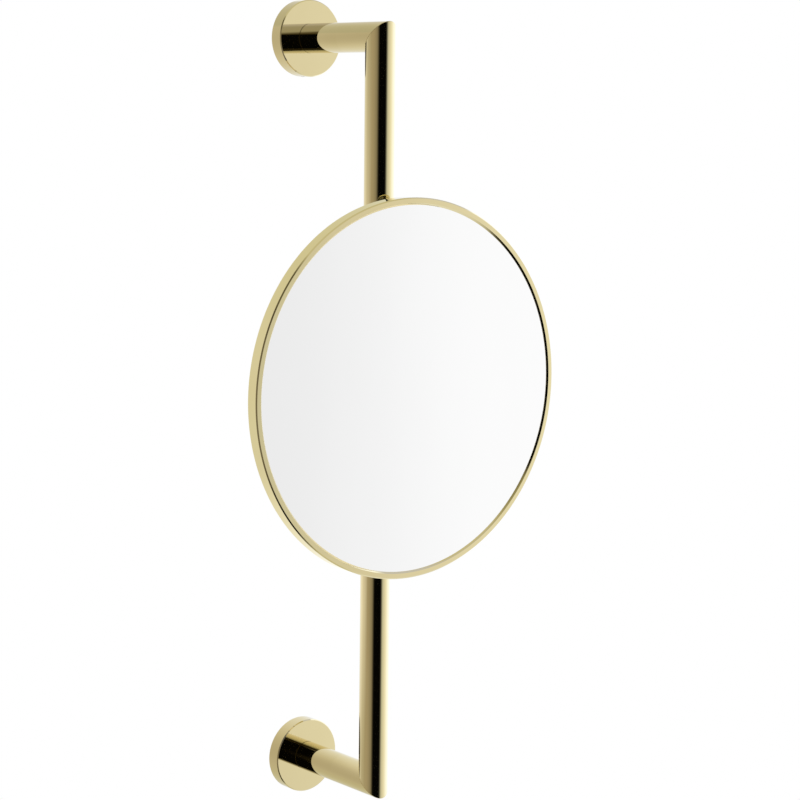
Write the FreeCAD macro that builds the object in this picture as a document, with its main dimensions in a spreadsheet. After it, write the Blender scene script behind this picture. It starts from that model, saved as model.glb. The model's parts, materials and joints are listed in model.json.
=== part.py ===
import FreeCAD, Part
import os
import re
import Sketcher
from FreeCAD import Placement, Rotation, Vector

# Wall makeup mirror: a mitred tube rail on two wall flanges, with a round mirror that slides, swivels
# and tilts on it.
# Origin on the wall, midway between the flanges. +X to the right, +Y into the wall, +Z up.

# Driving dimensions in millimetres
SIZES = [
    ("rail_pitch", 400.0, "upper arm axis to lower arm axis"),
    ("projection", 67.8, "wall to rail axis"),
    ("tube_diameter", 16.0, "outside of the rail and arm tube"),
    ("tube_wall", 1.2, "wall of the tube"),
    ("fit_gap", 0.05, "radial gap of a fixed fit"),
    ("running_gap", 0.05, "radial gap of a moving fit"),
    ("flange_diameter", 41.2, "outside of the flange cap"),
    ("flange_depth", 8.0, "flange cap from wall to front"),
    ("flange_front", 2.5, "front wall of the flange cap"),
    ("flange_skirt", 2.0, "side wall of the flange cap"),
    ("flange_chamfer", 0.5, "chamfer of the cap's front edge"),
    ("plate_gap", 0.2, "radial gap between wall plate and cap"),
    ("plate_end_gap", 0.5, "gap between wall plate and the cap's front wall"),
    ("wall_hole", 4.5, "wall screw hole"),
    ("wall_hole_pitch", 25.0, "wall screw hole to wall screw hole"),
    ("wall_sink", 9.0, "countersink of a wall screw hole"),
    ("bolt_diameter", 6.0, "arm bolt shank"),
    ("bolt_end_gap", 0.5, "arm bolt's end to the plug's end"),
    ("bolt_head_diameter", 10.0, "arm bolt head"),
    ("bolt_head_height", 3.0, "arm bolt head"),
    ("bolt_head_room", 2.0, "radial room round the bolt head in the wall plate"),
    ("bolt_key", 4.0, "arm bolt socket across flats"),
    ("bolt_key_depth", 2.0, "arm bolt socket"),
    ("arm_chamfer", 0.3, "chamfer of the arm's wall end"),
    ("plug_length", 14.0, "threaded plug in the arm's wall end"),
    ("grub_diameter", 4.0, "grub screw under the cap"),
    ("grub_bite", 2.0, "grub screw seat in the wall plate's edge"),
    ("grub_sunk", 0.2, "grub screw below the cap's side"),
    ("grub_key", 2.0, "grub screw socket across flats"),
    ("grub_key_depth", 1.5, "grub screw socket"),
    ("key_leg", 24.0, "corner key, corner to leg end"),
    ("mirror_height", 17.8, "mirror centre above the rail's middle"),
    ("bush_wall", 1.5, "slider bush wall"),
    ("bush_length", 12.0, "slider bush inside the sleeve"),
    ("bush_flange", 1.5, "slider bush flange thickness"),
    ("bush_inset", 0.75, "sleeve's side to bush flange's edge"),
    ("sleeve_wall", 1.9, "slider sleeve wall"),
    ("sleeve_chamfer", 0.6, "chamfer of the sleeve's end edges"),
    ("pad_diameter", 8.0, "friction pad and pressure screw"),
    ("pad_length", 4.2, "friction pad from the rail outwards"),
    ("pad_margin", 4.0, "friction pad to slider bush"),
    ("spring_thickness", 0.5, "disc spring sheet"),
    ("spring_cone", 0.4, "disc spring free cone height"),
    ("spring_gap", 0.05, "gap between disc springs"),
    ("spring_bore", 3.4, "disc spring hole"),
    ("spring_clear", 0.3, "radial gap round the disc springs"),
    ("screw_length", 3.5, "pressure screw"),
    ("screw_sunk", 0.5, "pressure screw below the boss end"),
    ("screw_key", 4.0, "pressure screw socket across flats"),
    ("screw_key_depth", 2.0, "pressure screw socket"),
    ("boss_wall", 2.0, "boss wall round the pressure screw"),
    ("boss_chamfer", 0.5, "chamfer of the boss's end edge"),
    ("hinge_bolt", 4.0, "tilt hinge bolt"),
    ("knuckle_wall", 1.45, "knuckle wall round the hinge bolt"),
    ("knuckle_gap", 0.45, "knuckle to bracket plate"),
    ("ear_gap", 1.0, "slider sleeve to bracket ears"),
    ("ear_width", 4.0, "each ear of the hinge bracket"),
    ("tongue_width", 9.0, "tongue of the slider"),
    ("washer_thickness", 0.5, "friction washer"),
    ("side_gap", 0.05, "gap at each face of a friction washer"),
    ("hinge_head_height", 2.6, "hinge bolt head"),
    ("hinge_key", 2.5, "hinge bolt socket across flats"),
    ("hinge_key_depth", 1.4, "hinge bolt socket"),
    ("nut_height", 3.2, "hinge lock nut"),
    ("bolt_stand", 0.6, "hinge bolt past its nut"),
    ("bracket_diameter", 44.0, "round plate of the hinge bracket"),
    ("bracket_plate", 2.0, "thickness of that plate"),
    ("bracket_chamfer", 0.5, "chamfer of that plate's edge"),
    ("bracket_screw", 3.0, "bracket screw shank"),
    ("bracket_screw_circle", 32.0, "circle of the bracket screws"),
    ("bracket_sink_land", 0.7, "plain hole under a bracket screw's countersink"),
    ("bracket_screw_count", 4.0, "bracket screws"),
    ("stiffener_diameter", 60.0, "stiffener plate inside the back pan"),
    ("stiffener_gap", 0.5, "stiffener plate to glass"),
    ("mirror_diameter", 200.0, "outside of the mirror rim"),
    ("rim_wall", 1.2, "side wall of the rim"),
    ("rim_chamfer", 0.6, "chamfer of the rim's front edge"),
    ("rim_back_chamfer", 0.4, "chamfer of the rim's back edge"),
    ("lip_depth", 1.0, "front lip of the rim"),
    ("lip_hold", 1.4, "lip over the glass edge"),
    ("lip_chamfer", 0.9, "chamfer of the lip's inner edge"),
    ("pan_gap", 0.1, "radial gap between rim and back pan"),
    ("pan_wall", 0.8, "side wall of the back pan"),
    ("pan_floor", 1.2, "floor of the back pan"),
    ("glass_thickness", 3.0, "mirror glass"),
    ("glass_gap", 0.3, "radial gap between back pan and glass"),
    ("glass_seam", 0.25, "ground edge of the glass"),
    ("foam_depth", 2.2, "foam pad behind the glass"),
    ("foam_gap", 2.0, "radial gap between foam pad and stiffener plate"),
    ("foam_edge", 3.0, "glass edge to foam edge"),
]
NAMES = {name for name, size, meaning in SIZES}

# Sizes that follow from the driving dimensions
HALF_PITCH = "(rail_pitch / 2)"
TUBE_RADIUS = "(tube_diameter / 2)"
TUBE_BORE = "(tube_diameter - 2 * tube_wall)"
CAVITY_DEPTH = "(flange_depth - flange_front)"
PLATE_DEPTH = f"({CAVITY_DEPTH} - plate_end_gap)"
PLATE_RADIUS = "(flange_diameter / 2 - flange_skirt - plate_gap)"
PLATE_BORE = "(bolt_head_diameter + 2 * bolt_head_room)"
BOLT_HOLE = "(bolt_diameter + 2 * fit_gap)"
BOLT_TIP = "(flange_depth + plug_length - bolt_end_gap)"
GRUB_NOSE = f"({PLATE_RADIUS} - grub_bite + fit_gap)"
GRUB_END = "(flange_diameter / 2 - grub_sunk)"
BUSH_BORE = f"({TUBE_RADIUS} + running_gap)"
BUSH_RADIUS = f"({BUSH_BORE} + bush_wall)"
SLEEVE_BORE = f"({BUSH_RADIUS} + running_gap)"
SLEEVE_RADIUS = f"({SLEEVE_BORE} + sleeve_wall)"
SLEEVE_HALF = "(bush_length + pad_diameter / 2 + pad_margin)"
PAD_END = f"({BUSH_BORE} + pad_length)"
SPRING_PITCH = "(spring_thickness + spring_cone + spring_gap)"
SPRING_COUNT = 3
SCREW_NOSE = f"({PAD_END} + {SPRING_COUNT} * {SPRING_PITCH} + spring_gap)"
SCREW_END = f"({SCREW_NOSE} + screw_length)"
BOSS_REACH = f"({SCREW_END} + screw_sunk)"
KNUCKLE = "(hinge_bolt + 2 * running_gap + 2 * knuckle_wall)"
PIN_OFFSET = f"({SLEEVE_RADIUS} + ear_gap + {KNUCKLE} / 2)"
WASHER_FACE = "(tongue_width / 2 + side_gap)"
EAR_FACE = f"({WASHER_FACE} + washer_thickness + side_gap)"
EAR_END = f"({EAR_FACE} + ear_width)"
BRACKET_BACK = f"({PIN_OFFSET} + {KNUCKLE} / 2 + knuckle_gap)"
BRACKET_SINK = "(bracket_screw + 2 * (bracket_plate - bracket_sink_land))"
PAN_BACK = f"({BRACKET_BACK} + bracket_plate)"
PAN_INSIDE = f"({PAN_BACK} + pan_floor)"
STIFFENER_FRONT = f"({PAN_INSIDE} + foam_depth - stiffener_gap)"
GLASS_BACK = f"({PAN_INSIDE} + foam_depth)"
GLASS_FRONT = f"({GLASS_BACK} + glass_thickness)"
RIM_FRONT = f"({GLASS_FRONT} + lip_depth)"
RIM_RADIUS = "(mirror_diameter / 2)"
RIM_BORE = f"({RIM_RADIUS} - rim_wall)"
PAN_RADIUS = f"({RIM_BORE} - pan_gap)"
PAN_BORE = f"({PAN_RADIUS} - pan_wall)"
GLASS_RADIUS = f"({PAN_BORE} - glass_gap)"
LIP_BORE = f"({GLASS_RADIUS} - lip_hold)"

# Numbers of a sketch's own axes and of a curve's points
H_AXIS_INDEX, V_AXIS_INDEX = -1, -2
START_INDEX, END_INDEX, CENTRE_INDEX = 1, 2, 3

SAME_PLACE = 1e-4
HALF_TURN = Rotation(Vector(0, 1, 0), 180)

doc = FreeCAD.newDocument("makeup_mirror")
dims = doc.addObject("Spreadsheet::Sheet", "Dims")
for row, (name, size, meaning) in enumerate(SIZES, 1):
    dims.set(f"A{row}", name)
    dims.set(f"B{row}", str(size))
    dims.set(f"C{row}", meaning)
    dims.setAlias(f"B{row}", name)
doc.recompute()
sub_parts = []


# Formulas and sketches

def bound(formula):
    return re.sub("[a-z_]+", lambda word: f"Dims.{word[0]}" if word[0] in NAMES else word[0], formula)


def value(formula):
    return float(dims.evalExpression(bound(formula)))


def bind(thing, target, formula):
    thing.setExpression(target, bound(formula))


def new_body(label, turn=None, y=None, z=None):
    body = doc.addObject("PartDesign::Body", label)
    body.Label = label
    if turn:
        body.Placement = Placement(Vector(), turn)
    if y:
        bind(body, "Placement.Base.y", y)
    if z:
        bind(body, "Placement.Base.z", z)
    sub_parts.append(body)
    return body


def origin_part(body, role):
    return next(part for part in body.Origin.OriginFeatures if part.Role == role)


def sketch_on(body, role, lift=None):
    sketch = body.newObject("Sketcher::SketchObject", f"{body.Name}_sketch")
    sketch.AttachmentSupport = (origin_part(body, role), "")
    sketch.MapMode = "FlatFace"
    if lift:
        bind(sketch, "AttachmentOffset.Base.z", lift)
    return sketch


def hold_point(sketch, curve, end, x, y):
    for kind, formula, axis in (("DistanceX", x, V_AXIS_INDEX), ("DistanceY", y, H_AXIS_INDEX)):
        if formula == "0":
            sketch.addConstraint(Sketcher.Constraint("PointOnObject", curve, end, axis))
        else:
            number = sketch.addConstraint(Sketcher.Constraint(kind, curve, end, value(formula)))
            bind(sketch, f"Constraints[{number}]", formula)


def draw_circle(sketch, diameter, x="0", y="0"):
    shape = Part.Circle(Vector(value(x), value(y), 0), Vector(0, 0, 1), value(diameter) / 2)
    curve = sketch.addGeometry(shape)
    hold_point(sketch, curve, CENTRE_INDEX, x, y)
    number = sketch.addConstraint(Sketcher.Constraint("Diameter", curve, value(diameter)))
    bind(sketch, f"Constraints[{number}]", diameter)


def draw_lines(sketch, corners, closed=True):
    points = [Vector(value(x), value(y), 0) for x, y in corners]
    ends = points[1:] + points[:1] if closed else points[1:]
    curves = [sketch.addGeometry(Part.LineSegment(*pair)) for pair in zip(points, ends)]
    followers = curves[1:] + curves[:1] if closed else curves[1:]
    for curve, follower in zip(curves, followers):
        sketch.addConstraint(Sketcher.Constraint("Coincident", curve, END_INDEX, follower, START_INDEX))
    for curve, (x, y) in zip(curves, corners):
        hold_point(sketch, curve, START_INDEX, x, y)
    if not closed:
        hold_point(sketch, curves[-1], END_INDEX, *corners[-1])


def draw_hexagon(sketch, flats, x="0", y="0"):
    half = f"({flats} / 2)"
    point = f"({flats} / sqrt(3))"
    slope = f"({flats} / sqrt(12))"
    around = [(half, slope), ("0", point), (f"-{half}", slope), (f"-{half}", f"-{slope}"), ("0", f"-{point}"),
              (half, f"-{slope}")]
    shifted = [(u if x == "0" else f"{x} + {u}", v if y == "0" else f"{y} + {v}") for u, v in around]
    draw_lines(sketch, shifted)


# Features

def add(body, kind, sketch):
    feature = body.newObject(f"PartDesign::{kind}", f"{body.Name}_{kind.lower()}")
    feature.Profile = sketch
    return feature


def pad(body, sketch, length, both_ways=False, reverse=False):
    feature = add(body, "Pad", sketch)
    feature.SideType = "Symmetric" if both_ways else "One side"
    feature.Reversed = reverse
    bind(feature, "Length", length)
    doc.recompute()
    return feature


def pocket(body, sketch, length, both_ways=False, reverse=False):
    before = body.Shape.Volume
    feature = add(body, "Pocket", sketch)
    feature.SideType = "Symmetric" if both_ways else "One side"
    feature.Reversed = reverse
    bind(feature, "Length", length)
    doc.recompute()
    if not body.Shape.Volume < before:
        raise RuntimeError(f"{feature.Label} cuts nothing")
    return feature


def turn(body, sketch, axis="V_Axis"):
    feature = add(body, "Revolution", sketch)
    feature.ReferenceAxis = (sketch, [axis])
    feature.Angle = 360
    doc.recompute()
    return feature


def countersunk_hole(body, sketch, diameter, sink, reverse=False):
    doc.recompute()
    before = body.Shape.Volume
    feature = add(body, "Hole", sketch)
    feature.ThreadType = "None"
    feature.DepthType = "ThroughAll"
    feature.Reversed = reverse
    feature.HoleCutType = "Countersink"
    feature.HoleCutCustomValues = True
    feature.HoleCutCountersinkAngle = 90
    bind(feature, "Diameter", diameter)
    bind(feature, "HoleCutDiameter", sink)
    doc.recompute()
    if not body.Shape.Volume < before:
        raise RuntimeError(f"{feature.Label} cuts nothing")
    return feature


def repeat_round(body, feature, role, count):
    pattern = body.newObject("PartDesign::PolarPattern", f"{body.Name}_pattern")
    pattern.Originals = [feature]
    pattern.Axis = (origin_part(body, role), [""])
    pattern.Angle = 360
    bind(pattern, "Occurrences", count)
    body.Tip = pattern
    doc.recompute()
    return pattern


def ring_edges(base, rings):
    # the circular edges given as (edge radius, coordinate along the axis, axis name)
    chosen = []
    for number, edge in enumerate(base.Shape.Edges, 1):
        if not isinstance(edge.Curve, Part.Circle):
            continue
        for ring, place, axis in rings:
            radius_off = abs(edge.Curve.Radius - value(ring))
            place_off = abs(getattr(edge.Curve.Center, axis) - value(place))
            if max(radius_off, place_off) < SAME_PLACE:
                chosen.append(f"Edge{number}")
    if len(chosen) < len(rings):
        raise RuntimeError(f"{base.Label} lacks an edge to chamfer")
    return chosen


def chamfer_rings(body, rings, size):
    base = body.Tip
    feature = body.newObject("PartDesign::Chamfer", f"{body.Name}_chamfer")
    feature.Base = (base, ring_edges(base, rings))
    bind(feature, "Size", size)
    doc.recompute()


# Wall brackets, one at each end of the rail

def wall_plate(label, height):
    body = new_body(label, z=height)
    outline = sketch_on(body, "XY_Plane")
    draw_lines(outline, [(f"{PLATE_BORE} / 2", "0"), (PLATE_RADIUS, "0"), (PLATE_RADIUS, f"-{PLATE_DEPTH}"),
                         (f"{PLATE_BORE} / 2", f"-{PLATE_DEPTH}")])
    turn(body, outline)
    holes = sketch_on(body, "XZ_Plane", lift=PLATE_DEPTH)
    draw_circle(holes, "wall_hole", x="wall_hole_pitch / 2")
    draw_circle(holes, "wall_hole", x="-wall_hole_pitch / 2")
    countersunk_hole(body, holes, "wall_hole", "wall_sink")
    seat = sketch_on(body, "XY_Plane", lift=f"-{PLATE_RADIUS} + grub_bite")
    draw_circle(seat, "grub_diameter + 2 * fit_gap", y=f"-{PLATE_DEPTH} / 2")
    pocket(body, seat, "grub_bite + plate_gap")


def flange_cap(label, height):
    body = new_body(label, z=height)
    edge = "flange_diameter / 2"
    inside = "flange_diameter / 2 - flange_skirt"
    outline = sketch_on(body, "XY_Plane")
    draw_lines(outline, [(f"{BOLT_HOLE} / 2", "-flange_depth"), (edge, "-flange_depth"), (edge, "0"),
                         (inside, "0"), (inside, f"-{CAVITY_DEPTH}"),
                         (f"{BOLT_HOLE} / 2", f"-{CAVITY_DEPTH}")])
    turn(body, outline)
    chamfer_rings(body, [(edge, "-flange_depth", "y")], "flange_chamfer")
    screw_hole = sketch_on(body, "XY_Plane")
    draw_circle(screw_hole, "grub_diameter + 2 * fit_gap", y=f"-{PLATE_DEPTH} / 2")
    pocket(body, screw_hole, "flange_diameter")


def grub_screw(label, height):
    body = new_body(label, z=height)
    outline = sketch_on(body, "XY_Plane", lift=f"-{GRUB_NOSE}")
    draw_circle(outline, "grub_diameter", y=f"-{PLATE_DEPTH} / 2")
    pad(body, outline, f"{GRUB_END} - {GRUB_NOSE}", reverse=True)
    socket = sketch_on(body, "XY_Plane", lift=f"-{GRUB_END}")
    draw_hexagon(socket, "grub_key", y=f"-{PLATE_DEPTH} / 2")
    pocket(body, socket, "grub_key_depth", reverse=True)


def arm_tube(label, rotation, height):
    body = new_body(label, turn=rotation, z=height)
    section = sketch_on(body, "XZ_Plane", lift="flange_depth")
    draw_circle(section, "tube_diameter")
    draw_circle(section, TUBE_BORE)
    pad(body, section, f"projection + {TUBE_RADIUS} - flange_depth")
    chamfer_rings(body, [(TUBE_RADIUS, "-flange_depth", "y")], "arm_chamfer")
    mitre = sketch_on(body, "YZ_Plane")
    draw_lines(mitre, [("-projection - tube_diameter", "tube_diameter"),
                       ("-projection + tube_diameter", "-tube_diameter"),
                       ("-projection - tube_diameter", "-tube_diameter")])
    pocket(body, mitre, "2 * tube_diameter", both_ways=True)


def arm_plug(label, height):
    body = new_body(label, z=height)
    section = sketch_on(body, "XZ_Plane", lift="flange_depth")
    draw_circle(section, f"{TUBE_BORE} - 2 * fit_gap")
    draw_circle(section, BOLT_HOLE)
    pad(body, section, "plug_length")


def arm_bolt(label, height):
    body = new_body(label, z=height)
    shank = "bolt_diameter / 2"
    head = "bolt_head_diameter / 2"
    head_top = f"-{CAVITY_DEPTH} + bolt_head_height"
    outline = sketch_on(body, "XY_Plane")
    draw_lines(outline, [("0", f"-{BOLT_TIP}"), (shank, f"-{BOLT_TIP}"), (shank, f"-{CAVITY_DEPTH}"),
                         (head, f"-{CAVITY_DEPTH}"), (head, head_top), ("0", head_top)])
    turn(body, outline)
    socket = sketch_on(body, "XZ_Plane", lift=f"{CAVITY_DEPTH} - bolt_head_height")
    draw_hexagon(socket, "bolt_key")
    pocket(body, socket, "bolt_key_depth", reverse=True)


def corner_key(label, rotation, height):
    body = new_body(label, turn=rotation, z=height)
    section = sketch_on(body, "XZ_Plane", lift="projection - key_leg")
    draw_circle(section, f"{TUBE_BORE} - 2 * fit_gap")
    path = sketch_on(body, "YZ_Plane")
    draw_lines(path, [("-projection + key_leg", "0"), ("-projection", "0"), ("-projection", "-key_leg")],
               closed=False)
    doc.recompute()
    feature = add(body, "AdditivePipe", section)
    feature.Spine = (path, ["Edge1", "Edge2"])
    feature.Transition = "Right corner"
    doc.recompute()


def rail_tube():
    body = new_body("rail", y="-projection")
    section = sketch_on(body, "XY_Plane")
    draw_circle(section, "tube_diameter")
    draw_circle(section, TUBE_BORE)
    pad(body, section, "rail_pitch + tube_diameter", both_ways=True)
    mitres = sketch_on(body, "YZ_Plane")
    for sign in ("", "-"):
        draw_lines(mitres, [("-tube_diameter", f"{sign}({HALF_PITCH} + tube_diameter)"),
                            ("tube_diameter", f"{sign}({HALF_PITCH} - tube_diameter)"),
                            ("tube_diameter", f"{sign}({HALF_PITCH} + tube_diameter)")])
    pocket(body, mitres, "2 * tube_diameter", both_ways=True)


# Slider on the rail

def slider_body(label, rotation=None):
    return new_body(label, turn=rotation, y="-projection", z="mirror_height")


def slider_bush(label, rotation=None):
    body = slider_body(label, rotation)
    inner_end = f"{SLEEVE_HALF} - bush_length"
    top = f"{SLEEVE_HALF} + running_gap"
    edge = f"{SLEEVE_RADIUS} - bush_inset"
    outline = sketch_on(body, "XZ_Plane")
    draw_lines(outline, [(BUSH_BORE, inner_end), (BUSH_RADIUS, inner_end), (BUSH_RADIUS, top), (edge, top),
                         (edge, f"{top} + bush_flange"), (BUSH_BORE, f"{top} + bush_flange")])
    turn(body, outline)


def slider_sleeve():
    body = slider_body("slider_sleeve")
    section = sketch_on(body, "XY_Plane")
    draw_circle(section, f"2 * {SLEEVE_RADIUS}")
    pad(body, section, f"2 * {SLEEVE_HALF}", both_ways=True)
    ends = [(SLEEVE_RADIUS, SLEEVE_HALF, "z"), (SLEEVE_RADIUS, f"-{SLEEVE_HALF}", "z")]
    chamfer_rings(body, ends, "sleeve_chamfer")
    web = sketch_on(body, "YZ_Plane")
    draw_lines(web, [("0", f"{KNUCKLE} / 2"), (f"-{PIN_OFFSET}", f"{KNUCKLE} / 2"),
                     (f"-{PIN_OFFSET}", f"-{KNUCKLE} / 2"), ("0", f"-{KNUCKLE} / 2")])
    pad(body, web, "tongue_width", both_ways=True)
    knuckle = sketch_on(body, "YZ_Plane")
    draw_circle(knuckle, KNUCKLE, x=f"-{PIN_OFFSET}")
    pad(body, knuckle, "tongue_width", both_ways=True)
    boss = sketch_on(body, "XZ_Plane")
    draw_circle(boss, "pad_diameter + 2 * boss_wall")
    pad(body, boss, BOSS_REACH, reverse=True)
    chamfer_rings(body, [("pad_diameter / 2 + boss_wall", BOSS_REACH, "y")], "boss_chamfer")
    bore = sketch_on(body, "XY_Plane")
    draw_circle(bore, f"2 * {SLEEVE_BORE}")
    pocket(body, bore, f"3 * {SLEEVE_HALF}", both_ways=True)
    screw_hole = sketch_on(body, "XZ_Plane")
    draw_circle(screw_hole, "pad_diameter + 2 * fit_gap")
    pocket(body, screw_hole, f"2 * {BOSS_REACH}")
    pin_hole = sketch_on(body, "YZ_Plane")
    draw_circle(pin_hole, "hinge_bolt + 2 * running_gap", x=f"-{PIN_OFFSET}")
    pocket(body, pin_hole, "2 * tongue_width", both_ways=True)


def friction_pad():
    body = slider_body("friction_pad")
    section = sketch_on(body, "XZ_Plane")
    draw_circle(section, "pad_diameter")
    pad(body, section, PAD_END, reverse=True)
    hollow = sketch_on(body, "XY_Plane")
    draw_circle(hollow, f"2 * {BUSH_BORE}")
    pocket(body, hollow, "2 * pad_diameter", both_ways=True)


def disc_springs():
    body = slider_body("disc_springs")
    inner = "spring_bore / 2"
    outer = "pad_diameter / 2 - spring_clear"
    outline = sketch_on(body, "XY_Plane")
    for number in range(SPRING_COUNT):
        low = f"{PAD_END} + spring_gap + {number} * {SPRING_PITCH}"
        high = f"{low} + spring_cone"
        first, last = (low, high) if number % 2 == 0 else (high, low)
        draw_lines(outline, [(inner, first), (outer, last), (outer, f"{last} + spring_thickness"),
                             (inner, f"{first} + spring_thickness")])
    turn(body, outline)


def pressure_screw():
    body = slider_body("pressure_screw")
    section = sketch_on(body, "XZ_Plane", lift=f"-{SCREW_NOSE}")
    draw_circle(section, "pad_diameter")
    pad(body, section, "screw_length", reverse=True)
    socket = sketch_on(body, "XZ_Plane", lift=f"-{SCREW_END}")
    draw_hexagon(socket, "screw_key")
    pocket(body, socket, "screw_key_depth", reverse=True)


# Tilt hinge between slider and mirror

def friction_washers():
    body = slider_body("friction_washers")
    for face in (WASHER_FACE, f"-{WASHER_FACE} - washer_thickness"):
        section = sketch_on(body, "YZ_Plane", lift=face)
        draw_circle(section, KNUCKLE, x=f"-{PIN_OFFSET}")
        draw_circle(section, "hinge_bolt + 2 * running_gap", x=f"-{PIN_OFFSET}")
        pad(body, section, "washer_thickness")


def hinge_bracket():
    body = slider_body("hinge_bracket")
    plate = sketch_on(body, "XZ_Plane", lift=BRACKET_BACK)
    draw_circle(plate, "bracket_diameter")
    pad(body, plate, "bracket_plate")
    chamfer_rings(body, [("bracket_diameter / 2", f"-{BRACKET_BACK}", "y")], "bracket_chamfer")
    web = sketch_on(body, "YZ_Plane")
    draw_lines(web, [(f"-{BRACKET_BACK}", f"{KNUCKLE} / 2"), (f"-{PIN_OFFSET}", f"{KNUCKLE} / 2"),
                     (f"-{PIN_OFFSET}", f"-{KNUCKLE} / 2"), (f"-{BRACKET_BACK}", f"-{KNUCKLE} / 2")])
    pad(body, web, f"2 * {EAR_END}", both_ways=True)
    barrel = sketch_on(body, "YZ_Plane")
    draw_circle(barrel, KNUCKLE, x=f"-{PIN_OFFSET}")
    pad(body, barrel, f"2 * {EAR_END}", both_ways=True)
    slot = sketch_on(body, "XY_Plane")
    draw_lines(slot, [(EAR_FACE, "0"), (EAR_FACE, f"-{BRACKET_BACK}"), (f"-{EAR_FACE}", f"-{BRACKET_BACK}"),
                      (f"-{EAR_FACE}", "0")])
    pocket(body, slot, f"2 * {KNUCKLE}", both_ways=True)
    pin_hole = sketch_on(body, "YZ_Plane")
    draw_circle(pin_hole, "hinge_bolt + 2 * running_gap", x=f"-{PIN_OFFSET}")
    pocket(body, pin_hole, f"3 * {EAR_END}", both_ways=True)
    screw_hole = sketch_on(body, "XZ_Plane", lift=BRACKET_BACK)
    draw_screw_place(screw_hole, "bracket_screw + 2 * fit_gap")
    hole = countersunk_hole(body, screw_hole, "bracket_screw + 2 * fit_gap", f"{BRACKET_SINK} + 2 * fit_gap",
                            reverse=True)
    repeat_round(body, hole, "Y_Axis", "bracket_screw_count")


def draw_screw_place(sketch, diameter):
    # the first bracket screw stands on the diagonal, clear of the hinge bolt
    diagonal = "bracket_screw_circle / sqrt(8)"
    draw_circle(sketch, diameter, x=diagonal, y=diagonal)


def hinge_bolt():
    body = slider_body("hinge_bolt")
    axis = f"-{PIN_OFFSET}"
    tip = f"-{EAR_END} - nut_height - bolt_stand"
    shank = sketch_on(body, "YZ_Plane", lift=tip)
    draw_circle(shank, "hinge_bolt", x=axis)
    pad(body, shank, f"2 * {EAR_END} + nut_height + bolt_stand")
    head = sketch_on(body, "YZ_Plane", lift=EAR_END)
    draw_circle(head, KNUCKLE, x=axis)
    pad(body, head, "hinge_head_height")
    socket = sketch_on(body, "YZ_Plane", lift=f"{EAR_END} + hinge_head_height")
    draw_hexagon(socket, "hinge_key", x=axis)
    pocket(body, socket, "hinge_key_depth")


def hinge_nut():
    body = slider_body("hinge_nut")
    axis = f"-{PIN_OFFSET}"
    section = sketch_on(body, "YZ_Plane", lift=f"-{EAR_END}")
    draw_hexagon(section, KNUCKLE, x=axis)
    draw_circle(section, "hinge_bolt + 2 * fit_gap", x=axis)
    pad(body, section, "nut_height", reverse=True)


# Mirror head

def bracket_screws():
    body = slider_body("bracket_screws")
    tip = f"{STIFFENER_FRONT} - fit_gap"
    place = sketch_on(body, "XZ_Plane", lift=BRACKET_BACK)
    draw_screw_place(place, "bracket_screw")
    shank = pad(body, place, f"{tip} - {BRACKET_BACK}")
    head = sketch_on(body, "XZ_Plane", lift=BRACKET_BACK)
    draw_screw_place(head, BRACKET_SINK)
    cone = pad(body, head, "bracket_plate - bracket_sink_land")
    cone.TaperAngle = -45
    doc.recompute()
    pattern = repeat_round(body, shank, "Y_Axis", "bracket_screw_count")
    pattern.Originals = [shank, cone]
    doc.recompute()


def stiffener_plate():
    body = slider_body("stiffener_plate")
    section = sketch_on(body, "XZ_Plane", lift=PAN_INSIDE)
    draw_circle(section, "stiffener_diameter")
    pad(body, section, "foam_depth - stiffener_gap")
    screw_hole = sketch_on(body, "XZ_Plane", lift=PAN_INSIDE)
    draw_screw_place(screw_hole, "bracket_screw + 2 * fit_gap")
    hole = pocket(body, screw_hole, "foam_depth", reverse=True)
    repeat_round(body, hole, "Y_Axis", "bracket_screw_count")


def back_pan():
    body = slider_body("back_pan")
    wall_front = f"-{GLASS_FRONT} + pan_gap"
    outline = sketch_on(body, "XY_Plane")
    draw_lines(outline, [("0", f"-{PAN_BACK}"), (PAN_RADIUS, f"-{PAN_BACK}"), (PAN_RADIUS, wall_front),
                         (PAN_BORE, wall_front), (PAN_BORE, f"-{PAN_INSIDE}"), ("0", f"-{PAN_INSIDE}")])
    turn(body, outline)
    screw_hole = sketch_on(body, "XZ_Plane", lift=PAN_BACK)
    draw_screw_place(screw_hole, "bracket_screw + 2 * fit_gap")
    hole = pocket(body, screw_hole, "2 * pan_floor", reverse=True)
    repeat_round(body, hole, "Y_Axis", "bracket_screw_count")


def foam_pad():
    body = slider_body("foam_pad")
    section = sketch_on(body, "XZ_Plane", lift=PAN_INSIDE)
    draw_circle(section, f"2 * ({GLASS_RADIUS} - foam_edge)")
    draw_circle(section, "stiffener_diameter + 2 * foam_gap")
    pad(body, section, "foam_depth")


def mirror_glass():
    body = slider_body("mirror_glass")
    outline = sketch_on(body, "XY_Plane")
    seam_radius = f"{GLASS_RADIUS} - glass_seam"
    draw_lines(outline, [("0", f"-{GLASS_BACK}"), (seam_radius, f"-{GLASS_BACK}"),
                         (GLASS_RADIUS, f"-{GLASS_BACK} - glass_seam"),
                         (GLASS_RADIUS, f"-{GLASS_FRONT} + glass_seam"),
                         (seam_radius, f"-{GLASS_FRONT}"), ("0", f"-{GLASS_FRONT}")])
    turn(body, outline)


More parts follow.
